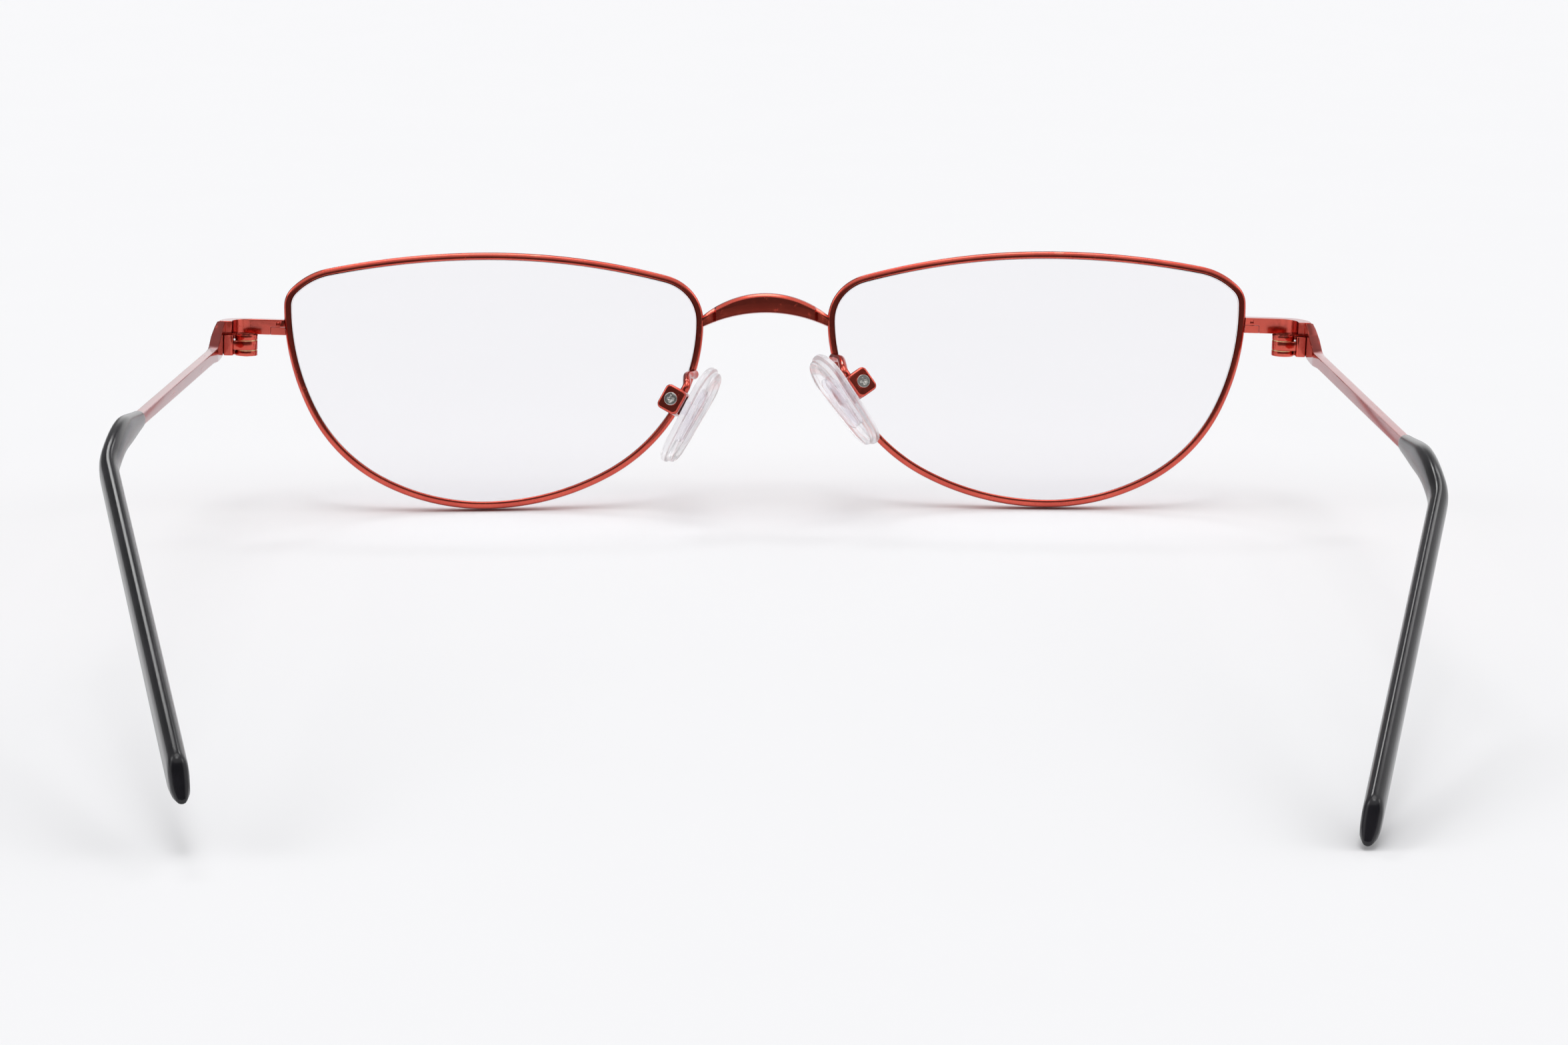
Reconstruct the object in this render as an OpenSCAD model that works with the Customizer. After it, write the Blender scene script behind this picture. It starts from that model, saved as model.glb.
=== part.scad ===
// Cat eye eyeglasses, full rim metal frame with screw-on silicone nose pads.
// The front faces -Y, the temples run to +Y, +Z is up, and the wearer's left is +X.

/* [Lens and rim] */
// Width of the visible lens opening, nose side to temple side
lens_w = 50.8; // [49.8:0.1:52]
// Height of the visible lens opening
lens_h = 30.4; // [29.8:0.1:31.2]
// Distance between the two lens openings at the bridge
lens_gap = 17.7; // [16.5:0.1:19]
// Thickness of the lens
lens_thick = 1.9; // [1.7:0.1:2.2]
// Radius of the lens front surface
lens_base = 265; // [220:5:320]
// Thickness of the rim wire seen from the front
rim_wall = 0.92; // [0.88:0.02:1.1]
// Depth of the rim wire, front to back
rim_deep = 2; // [1.8:0.1:2.4]
// Angle by which the top of the front leans forward
front_tilt = 12.5; // [9:0.5:15]
// Angle by which each rim sweeps back towards its temple
face_wrap = 2.5; // [0:0.5:4]

/* [Bridge] */
// Height of the bridge bar at its middle
bridge_h = 2.5; // [2.2:0.1:2.8]
// Depth of the bridge bar, front to back
bridge_deep = 1.7; // [1.4:0.1:1.9]

/* [End piece and hinge] */
// Height of the end piece strip
strip_h = 1.9; // [1.8:0.1:2.2]
// Thickness of the end piece strip
strip_t = 1.2; // [1:0.1:1.4]
// Distance from the rim out to the hinge pin
hinge_out = 4.4; // [4.3:0.1:4.8]
// Distance from the end piece strip back to the hinge pin
hinge_back = 3.3; // [3.2:0.1:4]
// Outside diameter of the hinge knuckles
knuckle_d = 2.8; // [2.6:0.05:2.85]
// Height of the whole knuckle stack
stack_h = 2.6; // [2.5:0.1:3]
// Height of the middle knuckle
mid_h = 1.1; // [1:0.05:1.2]
// Diameter of the hinge screw shank
pin_d = 1.2; // [1:0.05:1.3]

/* [Temple] */
// Length of the temple from the hinge to its end, along the arm
temple_len = 150; // [146:1:152]
// Distance from the hinge to the middle of the ear bend
bend_at = 81; // [79:1:86]
// Angle of the ear bend downwards
bend_down = 21.9; // [21:0.1:23]
// Angle by which the end turns in towards the head
bend_in = 15.4; // [13:0.2:18]
// Angle by which the open temples rise towards the ear
temple_rise = 3.2; // [3:0.1:4]
// Angle by which the left temple rises more than that and the right one less
rise_uneven = 1; // [0:0.1:1.2]
// Angle by which the open temples spread outwards
temple_splay = 2.4; // [1.4:0.1:3]
// Width of the temple arm seen from above
arm_w = 1.1; // [1:0.05:1.3]
// Height of the temple arm
arm_h = 1.45; // [1.3:0.05:1.7]

/* [Temple tip] */
// Distance from the hinge to the front end of the plastic tip
tip_from = 67; // [64:0.5:69]
// Thickness of the plastic tip
tip_t = 2.1; // [2:0.1:2.4]
// Thickness of the plastic tip at its front end
tip_t_front = 1.6; // [1.55:0.05:1.8]
// Height of the plastic tip at its front end
tip_h_front = 1.95; // [1.9:0.05:2.2]
// Height of the plastic tip around the ear bend
tip_h_bend = 3.6; // [3.2:0.1:4]
// Height of the plastic tip near its end
tip_h_end = 5.1; // [4.6:0.1:5.4]

/* [Nose pads] */
// Length of a nose pad
pad_len = 13.2; // [12:0.1:14]
// Width of a nose pad
pad_w = 7.2; // [6.6:0.1:7.8]
// Thickness of a nose pad
pad_t = 2.1; // [1.9:0.1:2.4]
// Distance from the middle of the front to a pad screw
pad_side = 11.6; // [11.2:0.1:12.4]
// Height of a pad screw above the bottom of the lens opening
pad_up = 13.75; // [13.4:0.05:14.6]
// Distance from the rim plane back to a pad screw
pad_back = 7.4; // [7:0.1:8.5]
// Angle by which a pad leans out at its lower end
pad_lean = 32; // [28:1:34]
// Angle by which a pad opens towards the wearer
pad_splay = 15.5; // [12:0.5:18]
// Height by which the right pad is set above the mean and the left one below it
pad_uneven = 1; // [0:0.1:1.2]
// Angle by which the right pad leans and opens more than the mean, and the left one less
pad_twist = 2.8; // [0:0.1:3.2]

/* [Hidden] */
$fn = 64;

// Running clearance round a moving pin
run_fit = 0.03;
// Clearance between two parts that are fixed together
seat_fit = 0.02;

// Shape of the opening: highest and lowest point and the two side extremes
top_u = lens_w / 2 + 0.3;
low_u = lens_w / 2 + 1.5;
temple_v = lens_h * 0.807;
nose_v = lens_h * 0.748;
// Quarter of the outline: run, rise, the two turning points, and the ratio of the middle radius to the rise
quarters = [
    [lens_w - top_u, lens_h - temple_v, 11.5, 46, 1.37, top_u, lens_h, 1, -1],
    [lens_w - low_u, temple_v, 28.5, 63, 0.8, low_u, 0, 1, 1],
    [low_u, nose_v, 28.5, 62, 0.96, low_u, 0, -1, 1],
    [top_u, lens_h - nose_v, 14.6, 45, 0.72, top_u, lens_h, -1, -1]
];
function q_mid(q) = q[4] * q[1];
function q_run(q) = q[0] - q_mid(q) * (sin(q[3]) - sin(q[2]));
function q_rise(q) = q[1] - q_mid(q) * (cos(q[2]) - cos(q[3]));
function q_det(q) = sin(q[2]) * cos(q[3]) - (1 - sin(q[3])) * (1 - cos(q[2]));
function q_first(q) = (q_run(q) * cos(q[3]) - q_rise(q) * (1 - sin(q[3]))) / q_det(q);
function q_last(q) = (q_rise(q) * sin(q[2]) - q_run(q) * (1 - cos(q[2]))) / q_det(q);
function q_radii(q) = [q_first(q), q_mid(q), q_last(q)];
function q_turns(q) = [0, q[2], q[3], 90];
function q_step(r, a, b) = r * [sin(b) - sin(a), cos(a) - cos(b)];
function q_start(q, i) = i == 0 ? [0, 0]
    : q_start(q, i - 1) + q_step(q_radii(q)[i - 1], q_turns(q)[i - 1], q_turns(q)[i]);
function q_centre(q, i) = q_start(q, i) + q_radii(q)[i] * [-sin(q_turns(q)[i]), cos(q_turns(q)[i])];
function q_points(q, off) = [
    for (i = [0:2], k = [0:8])
        let (a = q_turns(q)[i] + k * (q_turns(q)[i + 1] - q_turns(q)[i]) / 9)
        let (p = q_centre(q, i) + (q_radii(q)[i] + off) * [sin(a), -cos(a)])
        [q[5] + q[7] * p[0], q[6] + q[8] * p[1]]
];
function flip(v) = [for (i = [len(v) - 1:-1:0]) v[i]];
function side_extreme(q, off) = [q[5] + q[7] * (q[0] + off), q[6] + q[8] * q[1]];
// The whole outline of the opening, moved outwards by off
function outline(off) = concat(
    q_points(quarters[0], off), [side_extreme(quarters[0], off)], flip(q_points(quarters[1], off)),
    q_points(quarters[2], off), [side_extreme(quarters[2], off)], flip(q_points(quarters[3], off))
);

// Groove in the rim and the ridge of the lens that sits in it
groove_deep = 0.5;
groove_half = 0.25;
ridge_gap = 0.04;
rim_edge = 0.28;

// Turning a point about one axis
function turn_x(p, a) = [p[0], p[1] * cos(a) - p[2] * sin(a), p[1] * sin(a) + p[2] * cos(a)];
function turn_y(p, a) = [p[0] * cos(a) + p[2] * sin(a), p[1], p[2] * cos(a) - p[0] * sin(a)];
function turn_z(p, a) = [p[0] * cos(a) - p[1] * sin(a), p[0] * sin(a) + p[1] * cos(a), p[2]];

// Place of the rim plane in the front, then of the front in the part
rim_cant = 0.25;
function rim_to_front(p) = [lens_gap / 2, 0, 0] + turn_z(turn_y(p, -rim_cant), face_wrap);
function front_to_part(p) = turn_x(p, front_tilt);
function rim_to_part(p) = front_to_part(rim_to_front(p));

// Hinge pin: from the middle of the strip where it leaves the rim
strip_v = temple_v - 2.65;
strip_up = 1.92;
leg_x = 2.64;
leg_t = 1.56;
fold_cross = -1.8;
strip_root = rim_to_part([lens_w + rim_wall, 0, strip_v]);
function rise_of(s) = temple_rise + s * rise_uneven;
function hinge_turn(p, s) = turn_x(turn_y(p, s * fold_cross), rise_of(s));
function hinge_at(s) = strip_root - hinge_turn([-hinge_out, -hinge_back, strip_up], s);

// Temple path
arm_x = 2.75;
arm_z = -0.13;
bend_r = 24;
turn_r = 14;
arc_len = bend_r * bend_down * PI / 180;
turn_len = turn_r * bend_in * PI / 180;
bend_from = bend_at - arc_len / 2;
end_len = temple_len - bend_from - arc_len - turn_len;
core_len = end_len * 0.68;
function after_turn(p) = [-turn_r, 0, 0] + turn_z(p + [turn_r, 0, 0], bend_in);
function after_bend(p) = [0, bend_from, -bend_r] + turn_x(p + [0, 0, bend_r], -bend_down);
function path_end(p) = [arm_x, 0, arm_z] + turn_z(after_bend(after_turn(p)), -temple_splay);
function temple_point(p, s) = hinge_at(s) + hinge_turn(path_end(p), s);

// Resting height and middle of the part
rim_low = min([for (p = outline(rim_wall)) rim_to_part([p[0], -rim_deep / 2 + rim_edge * 0.6, p[1]])[2]]);
lift = -rim_low;
front_y = min([for (p = outline(rim_wall - rim_edge)) rim_to_part([p[0], -rim_deep / 2, p[1]])[1]]);
end_y = max([for (s = [-1, 1]) temple_point([0, end_len, 0], s)[1]]);
mid_y = (front_y + end_y) / 2;

// Hinge heights
washer_t = 0.1;
knuckle_h = stack_h / 2 - mid_h / 2 - washer_t - 2 * seat_fit;
head_d = pin_d + 0.85;
head_h = 0.3;
block_in = knuckle_d / 2 + 0.1;
block_y = 1.5;
block_round = 0.35;
butt_gap = 0.12;
front_in = 2.64;

// Tall front end of the temple: lengths of its top, its foot and its taper, and its reach up, down and out
paddle_top = 9.6;
paddle_foot = 12.5;
paddle_taper = 20;
paddle_up = 3;
paddle_down = 1.12;
paddle_out = 1;

// Rim lock in the lower half of the strip, and its screw
lock_len = 1.62;
lock_pin_d = 0.55;
lock_head_d = 0.9;
lock_head_h = 0.25;
lock_x = 0.82;

// Outer radius of the strip's bend into the leg
bend_out = 3.2;

// Pad box and screw
box_w = 3.3;
box_out = 1.4;
box_mouth = -1.45;
box_deep = 2.9;
box_round = 0.65;
slot_w = 2.5;
slot_deep = 1.3;
lug_w = 1.8;
lug_t = 1.16;
pad_pin_d = 0.9;
pad_head_d = 1.62;
pad_face = -2.2;
pad_drop = -0.6;

// Where the pad arm leaves the rim, in the rim frame
function foot_v(s) = pad_up - s * pad_uneven + 3.3;
function nose_edge(v) = min([for (p = outline(rim_wall / 2)) abs(p[1] - v) < 1.2 ? p[0] : 99]);
function pad_at(s) = [pad_side, pad_back, pad_up - s * pad_uneven];
function pad_lean_of(s) = pad_lean - s * pad_twist;
function pad_splay_of(s) = pad_splay - s * pad_twist;
function pad_to_front(p, s) = pad_at(s) + turn_y(turn_z(p, -pad_splay_of(s)), -pad_lean_of(s));

// Places both sides of the part from a module drawn for the wearer's left
module on_side(s) {
    translate([0, -mid_y, lift])
        mirror([s < 0 ? 1 : 0, 0, 0])
            children();
}

module in_front(s) {
    on_side(s)
        rotate([front_tilt, 0, 0])
            children();
}

module in_rim(s) {
    in_front(s)
        translate([lens_gap / 2, 0, 0])
            rotate([0, -rim_cant, face_wrap])
                children();
}

module in_hinge(s) {
    on_side(s)
        translate(hinge_at(s))
            rotate([rise_of(s), 0, 0])
                rotate([0, s * fold_cross, 0])
                    children();
}

module in_arm(s) {
    in_hinge(s)
        translate([arm_x, 0, arm_z])
            rotate([0, 0, -temple_splay])
                children();
}

module past_bend() {
    translate([0, bend_from, -bend_r])
        rotate([-bend_down, 0, 0])
            translate([0, 0, bend_r])
                children();
}

module past_turn() {
    past_bend()
        translate([-turn_r, 0, 0])
            rotate([0, 0, bend_in])
                translate([turn_r, 0, 0])
                    children();
}

module in_pad(s) {
    in_front(s)
        translate(pad_at(s))
            rotate([0, -pad_lean_of(s), 0])
                rotate([0, 0, -pad_splay_of(s)])
                    children();
}

// Extrudes a drawing of the rim plane by h, centred on the plane
module plate(h) {
    rotate([90, 0, 0])
        linear_extrude(height = h, center = true)
            children();
}

// Extrudes a drawing (across, up) along +Y
module along_y(h) {
    rotate([90, 0, 0])
        mirror([0, 0, 1])
            linear_extrude(height = h)
                children();
}

// Round bar between two points
module rod(p, q, d) {
    v = q - p;
    translate(p)
        rotate([0, acos(v[2] / norm(v)), atan2(v[1], v[0])])
            cylinder(d = d, h = norm(v));
}

// Rim wire section grown by g: first axis outwards from the opening, second axis through the depth
module rim_section(g) {
    e = rim_edge;
    d = rim_deep / 2 + g;
    w = rim_wall + g;
    h = groove_half - g;
    k = h + 0.2;
    polygon([
        [0.12, -d], [w - e, -d], [w, -d + e], [w, d - e], [w - e, d], [0.12, d],
        [-g, d - 0.12], [-g, k], [groove_deep - g, h], [groove_deep - g, -h], [-g, -k], [-g, -d + 0.12]
    ]);
}

module in_quarter(q) {
    translate([q[5], q[6], 0])
        mirror([q[7] < 0 ? 1 : 0, 0, 0])
            mirror([0, q[8] < 0 ? 1 : 0, 0])
                children();
}

// Length of rim wire along arc i of a quarter, between two angles, grown by g
module rim_arc(q, i, from, to, g) {
    translate(concat(q_centre(q, i), 0))
        rotate([0, 0, from - 90])
            rotate_extrude(angle = to - from)
                translate([q_radii(q)[i], 0])
                    rim_section(g);
}

// Short collar that joins two arcs of the rim at the angle a
module rim_joint(q, i, a) {
    t = 0.06 / q_radii(q)[i] * 180 / PI;
    rim_arc(q, i, a - t, a + t, 0.004);
}

module rim(s) {
    in_rim(s)
        difference() {
            rotate([90, 0, 0]) {
                for (q = quarters)
                    in_quarter(q)
                        for (i = [0:2]) {
                            t = 0.02 / q_radii(q)[i] * 180 / PI;
                            rim_arc(q, i, q_turns(q)[i] + t, q_turns(q)[i + 1] - t, 0);
                            if (i > 0)
                                rim_joint(q, i, q_turns(q)[i]);
                        }
                for (q = [quarters[0], quarters[2]])
                    in_quarter(q) {
                        rim_joint(q, 0, 0);
                        rim_joint(q, 2, 90);
                    }
            }
            translate([lens_w - 1, -rim_deep, strip_v - 0.06])
                cube([3, rim_deep * 2, 0.12]);
        }
}

module lens(s) {
    apex = lens_thick / 2 + 0.87;
    in_rim(s)
        union() {
            difference() {
                intersection() {
                    plate(8)
                        polygon(outline(-0.03));
                    translate([lens_w / 2, lens_base - apex, lens_h / 2])
                        sphere(r = lens_base, $fn = 360);
                }
                translate([lens_w / 2, lens_base - apex + lens_thick, lens_h / 2])
                    sphere(r = lens_base, $fn = 360);
            }
            difference() {
                plate(2 * (groove_half - 0.03))
                    polygon(outline(groove_deep - ridge_gap));
                plate(2)
                    polygon(outline(-0.9));
            }
        }
}

// Rim solid used to trim what is brazed to it
module rim_body(gap) {
    plate(rim_deep + 2 * gap)
        polygon(outline(rim_wall + gap));
}

module bridge() {
    top_v = lens_h - 4.1;
    half = lens_gap / 2 - rim_wall + 0.6;
    top_r = 12.4;
    low_r = 18.5;
    in_front(1)
        difference() {
            intersection() {
                plate(bridge_deep)
                    difference() {
                        translate([0, top_v - top_r])
                            circle(r = top_r);
                        translate([0, top_v - bridge_h - low_r])
                            circle(r = low_r);
                    }
                translate([-half, -2, top_v - 6.2])
                    cube([2 * half, 4, 8]);
            }
            for (k = [0, 1])
                mirror([k, 0, 0]) {
                    translate([lens_gap / 2, 0, 0])
                        rotate([0, -rim_cant, face_wrap])
                            rim_body(0.01);
                    translate([half - 2.1, 0.35, top_v - 7])
                        rotate([0, 0, 22])
                            cube([4, 2, 9]);
                }
        }
}

// Points along a bend about (x, y), between two angles
function bend_points(x, y, r, from, to) = [
    for (k = [0:10]) let (a = from + k * (to - from) / 10) [x + r * sin(a), y - r * cos(a)]
];

// Plan of the end piece strip with its bend and the leg that the temple butts against, grown by gap
function strip_plan(gap) = let (
        y = -hinge_back,
        t = strip_t / 2 + gap,
        x_out = leg_x + leg_t / 2 + gap,
        x_in = leg_x - leg_t / 2 - gap,
        r_out = bend_out + gap,
        r_in = bend_out - strip_t * 0.87 - gap
    ) concat(
        [[-hinge_out - 0.4, y - t]],
        bend_points(x_out - r_out, y - t + r_out, r_out, 0, 90),
        [[x_out, gap - 0.03], [x_in, gap - 0.03]],
        bend_points(x_in - r_in, y + t + r_in, r_in, 90, 0),
        [[-hinge_out - 0.4, y + t]]
    );

module end_strip(gap) {
    translate([0, 0, strip_up - strip_h / 2 - gap])
        linear_extrude(height = strip_h + 2 * gap)
            polygon(strip_plan(gap));
}

// Lower half of the strip beside the rim, which the rim lock takes
module lock_zone(gap) {
    translate([-hinge_out - 1, -hinge_back - 2, strip_up - strip_h])
        cube([lock_len + 1 + gap, 4, strip_h + gap]);
}

// Hole of the rim lock screw, with the seat of its head below
module lock_bore(d, head) {
    translate([lock_x - hinge_out, -hinge_back, strip_up - strip_h / 2 - 0.5]) {
        cylinder(d = d, h = strip_h + 0.2);
        cylinder(d = head, h = 0.5 + lock_head_h + seat_fit);
    }
}

module end_piece(s) {
    difference() {
        in_hinge(s)
            difference() {
                end_strip(0);
                lock_zone(0.04);
                lock_bore(lock_pin_d + 2 * seat_fit, lock_pin_d);
                // Small dark pocket beside the rim
                translate([-hinge_out + 0.5, -hinge_back + strip_t / 2 - 0.3, strip_up + 0.28])
                    cube([0.42, 1, 0.42]);
            }
        in_rim(s)
            rim_body(0.01);
    }
}

// Lower half of the rim lock, with the mini screw that closes the rim on the lens
module rim_lock(s) {
    difference() {
        in_hinge(s)
            difference() {
                intersection() {
                    end_strip(0);
                    lock_zone(0);
                }
                lock_bore(lock_pin_d + 2 * seat_fit, lock_head_d + 2 * seat_fit);
            }
        in_rim(s)
            rim_body(0.01);
    }
}

module rim_lock_screw(s) {
    in_hinge(s)
        translate([lock_x - hinge_out, -hinge_back, strip_up - strip_h / 2])
            difference() {
                union() {
                    cylinder(d = lock_head_d, h = lock_head_h);
                    translate([0, 0, 0.1])
                        cylinder(d = lock_pin_d, h = strip_h * 0.78);
                }
                translate([-1, -0.07, -0.1])
                    cube([2, 0.14, 0.2]);
            }
}

// Hinge half on the front: leaf with a top and a bottom knuckle
module hinge_front(s) {
    leaf_in = 1.75;
    r = knuckle_d / 2;
    in_hinge(s)
        difference() {
            union() {
                translate([leaf_in, -2.3, -stack_h / 2])
                    cube([leg_x - leaf_in, 2.24, stack_h]);
                for (z = [-stack_h / 2, stack_h / 2 - knuckle_h])
                    translate([0, 0, z]) {
                        cylinder(d = knuckle_d, h = knuckle_h);
                        linear_extrude(height = knuckle_h)
                            polygon([
                                [-r * 0.5, -r * 0.86], [leaf_in + 0.1, -2.3], [leaf_in + 0.1, -0.06], [0, -0.06]
                            ]);
                    }
            }
            end_strip(0.01);
            translate([0, 0, -stack_h])
                cylinder(d = pin_d + 2 * seat_fit, h = 2 * stack_h);
            translate([0, 0, stack_h / 2 - head_h])
                cylinder(d = head_d + 2 * seat_fit, h = 1);
        }
}

// Hinge half on the temple: middle knuckle and the block brazed inside the arm
module hinge_temple(s) {
    r = knuckle_d / 2;
    in_hinge(s)
        difference() {
            union() {
                translate([0, 0, -mid_h / 2])
                    cylinder(d = knuckle_d, h = mid_h);
                translate([0, 0, -mid_h / 2])
                    linear_extrude(height = mid_h)
                        polygon([
                            [0, butt_gap], [block_in + 0.1, butt_gap], [block_in + 0.1, 1], [r * 0.5, r * 0.86]
                        ]);
                translate([0, 0, -stack_h / 2 + 0.05])
                    linear_extrude(height = stack_h - 0.1)
                        polygon(concat(
                            [[front_in, butt_gap], [front_in, block_y]],
                            [
                                for (k = [0:5])
                                    [block_in, block_y] + block_round * [1 - sin(18 * k), cos(18 * k) - 1]
                            ],
                            [[block_in, butt_gap]]
                        ));
            }
            translate([0, 0, -stack_h])
                cylinder(d = pin_d + 2 * run_fit, h = 2 * stack_h);
        }
}

module hinge_screw(s) {
    in_hinge(s)
        difference() {
            union() {
                translate([0, 0, -stack_h / 2 - 0.12])
                    cylinder(d = pin_d, h = stack_h);
                translate([0, 0, stack_h / 2 - head_h + seat_fit])
                    cylinder(d = head_d, h = head_h + 0.06);
            }
            translate([-2, -0.14, stack_h / 2 - 0.1])
                cube([4, 0.28, 1]);
        }
}

module hinge_washers(s) {
    in_hinge(s)
        for (k = [0, 1])
            mirror([0, 0, k])
                translate([0, 0, mid_h / 2 + seat_fit])
                    difference() {
                        cylinder(d = knuckle_d - 0.04, h = washer_t);
                        translate([0, 0, -1])
                            cylinder(d = pin_d + 2 * seat_fit, h = 3);
                    }
}

// Bend down towards the ear, for a drawing at its radius in the arc's own plane
module bend_arc() {
    t = 0.02 / bend_r * 180 / PI;
    translate([0, bend_from, -bend_r])
        rotate([0, -90, 0])
            rotate([0, 0, t])
                rotate_extrude(angle = bend_down - 2 * t)
                    translate([bend_r, 0])
                        children();
}

// Turn in towards the head, which follows the bend
module turn_arc() {
    t = 0.02 / turn_r * 180 / PI;
    past_bend()
        translate([-turn_r, 0, 0])
            rotate([0, 0, t])
                rotate_extrude(angle = bend_in - 2 * t)
                    translate([turn_r, 0])
                        children();
}

// Arm along its path, grown by gap on every side, with a short collar at each change of curve
module arm_path(gap, from, to) {
    w = arm_w + 2 * gap;
    h = arm_h + 2 * gap;
    collar = [w + 0.008, 0.12, h + 0.008];
    translate([-w / 2, from, -h / 2])
        cube([w, bend_from - 0.02 - from, h]);
    translate([0, bend_from, 0])
        cube(collar, center = true);
    bend_arc()
        square([h, w], center = true);
    past_bend()
        cube(collar, center = true);
    turn_arc()
        square([w, h], center = true);
    past_turn() {
        cube(collar, center = true);
        translate([-w / 2, 0.02, -h / 2])
            cube([w, to - 0.02, h]);
    }
}

module temple(s) {
    in_arm(s)
        union() {
            intersection() {
                translate([-2, 0, 0])
                    rotate([90, 0, 90])
                        linear_extrude(height = 4)
                            polygon([
                                [butt_gap, paddle_up], [paddle_top * 0.45, paddle_up * 0.63],
                                [paddle_top * 0.875, paddle_up * 0.31], [paddle_top, arm_h / 2],
                                [paddle_taper, arm_h / 2], [paddle_taper, -arm_h / 2],
                                [paddle_foot, -arm_h / 2], [paddle_foot * 0.72, -paddle_down * 0.9],
                                [paddle_foot * 0.48, -paddle_down], [butt_gap, -paddle_down]
                            ]);
                translate([0, 0, -paddle_up])
                    linear_extrude(height = 2.5 * paddle_up)
                        polygon([
                            [paddle_out * -0.12, butt_gap], [paddle_out * 0.9, butt_gap],
                            [paddle_out, paddle_top * 0.2], [paddle_out * 0.97, paddle_top * 0.52],
                            [paddle_out * 0.7, paddle_top * 0.94], [arm_w / 2, paddle_foot],
                            [arm_w / 2, paddle_taper], [-arm_w / 2, paddle_taper], [-arm_w / 2, paddle_top * 0.94],
                            [paddle_out * -0.2, paddle_top * 0.26], [paddle_out * -0.12, paddle_top * 0.2]
                        ]);
            }
            arm_path(0, paddle_taper - 0.5, core_len);
        }
}

// Tip section: height by thickness with rounded corners, first axis up
function tip_section(h, t) = let (a = h / 2, b = t / 2, c = min(h, t) * 0.34, e = c * 0.3) [
    [a, b - c], [a - e, b - e], [a - c, b], [c - a, b], [e - a, b - e], [-a, b - c],
    [-a, c - b], [e - a, e - b], [c - a, -b], [a - c, -b], [a - e, e - b], [a, c - b]
];
function swap(v) = [for (p = v) [p[1], p[0]]];

module tip_slice(y, long, h, t, z) {
    translate([0, y, z])
        along_y(long)
            polygon(swap(tip_section(h, t)));
}

module temple_tip(s) {
    in_arm(s)
        difference() {
            union() {
                hull() {
                    tip_slice(tip_from, 0.02, tip_h_front - 0.1, tip_t_front - 0.1, 0);
                    tip_slice(tip_from + 0.2, 0.02, tip_h_front, tip_t_front, 0);
                    tip_slice(bend_from + 0.3, 0.02, tip_h_bend - 0.04, tip_t - 0.04, 0);
                }
                bend_arc()
                    polygon(tip_section(tip_h_bend, tip_t));
                past_bend()
                    tip_slice(-0.06, 0.12, tip_h_bend + 0.008, tip_t + 0.008, 0);
                turn_arc()
                    polygon(swap(tip_section(tip_h_bend, tip_t)));
                past_turn()
                    hull() {
                        tip_slice(-0.3, 0.02, tip_h_bend - 0.04, tip_t - 0.04, 0);
                        tip_slice(end_len - 8, 0.02, tip_h_end, tip_t, 0);
                        tip_slice(end_len - 3.6, 0.02, tip_h_end, tip_t, 0);
                        tip_slice(end_len - 2.5, 0.02, tip_h_end * 0.9, tip_t, 0.2);
                        tip_slice(end_len - 1.2, 0.02, tip_h_end * 0.48, tip_t * 0.9, -0.45);
                        tip_slice(end_len - 0.02, 0.02, tip_h_end * 0.09, tip_t * 0.3, -1);
                    }
            }
            arm_path(seat_fit, tip_from - 1, core_len + 0.05);
        }
}

// Pad outline: first axis across, second axis along the pad
module pad_outline(grow) {
    r = pad_w / 2 + grow;
    r_top = pad_w * 0.4 + grow;
    low = -pad_len / 2 + pad_w / 2;
    high = pad_len / 2 - pad_w * 0.4;
    lean = asin((r - r_top) / (high - low));
    low_arc = [
        for (k = [0:24])
            let (a = 180 - lean + k * (180 + 2 * lean) / 24)
            [r * cos(a), low + r * sin(a)]
    ];
    top_arc = [
        for (k = [0:20])
            let (a = lean + k * (180 - 2 * lean) / 20)
            [r_top * cos(a), high + r_top * sin(a)]
    ];
    polygon(concat(low_arc, top_arc));
}

// Draws (across, along) on the plane of the pad and extrudes towards the nose
module pad_plate(x, h) {
    translate([x, 0, pad_drop])
        rotate([0, -90, 0])
            rotate([0, 0, 90])
                mirror([1, 0, 0])
                    linear_extrude(height = h)
                        children();
}

module nose_pad(s) {
    dome = 26;
    in_pad(s)
        difference() {
            union() {
                pad_plate(pad_face, pad_t * 0.42)
                    pad_outline(0);
                intersection() {
                    pad_plate(pad_face, pad_t + 1)
                        pad_outline(-0.35);
                    translate([pad_face - pad_t + dome, 0, pad_drop])
                        sphere(r = dome, $fn = 180);
                }
            }
            pad_plate(pad_face - 0.55 + seat_fit, 0.55 + 2 * seat_fit)
                insert_outline(seat_fit);
            translate([pad_face - 0.7, -lug_t / 2 - seat_fit, -lug_w / 2 - seat_fit])
                cube([1, lug_t + 2 * seat_fit, lug_w + 2 * seat_fit]);
        }
}

module insert_outline(grow) {
    for (k = [-1, 1])
        translate([0, k * 2.3])
            circle(r = 1.3 + grow);
    translate([-1.3 - grow, -2.3])
        square([2.6 + 2 * grow, 4.6]);
}

module pad_insert(s) {
    in_pad(s)
        difference() {
            union() {
                pad_plate(pad_face - 0.55, 0.55)
                    insert_outline(0);
                translate([pad_face - 0.56, -lug_t / 2, -lug_w / 2])
                    cube([-pad_face + 0.56, lug_t, lug_w]);
                translate([0, lug_t / 2, 0])
                    rotate([90, 0, 0])
                        cylinder(d = lug_w, h = lug_t);
            }
            translate([0, 3, 0])
                rotate([90, 0, 0])
                    cylinder(d = pad_pin_d + 2 * run_fit, h = 6);
        }
}

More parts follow.
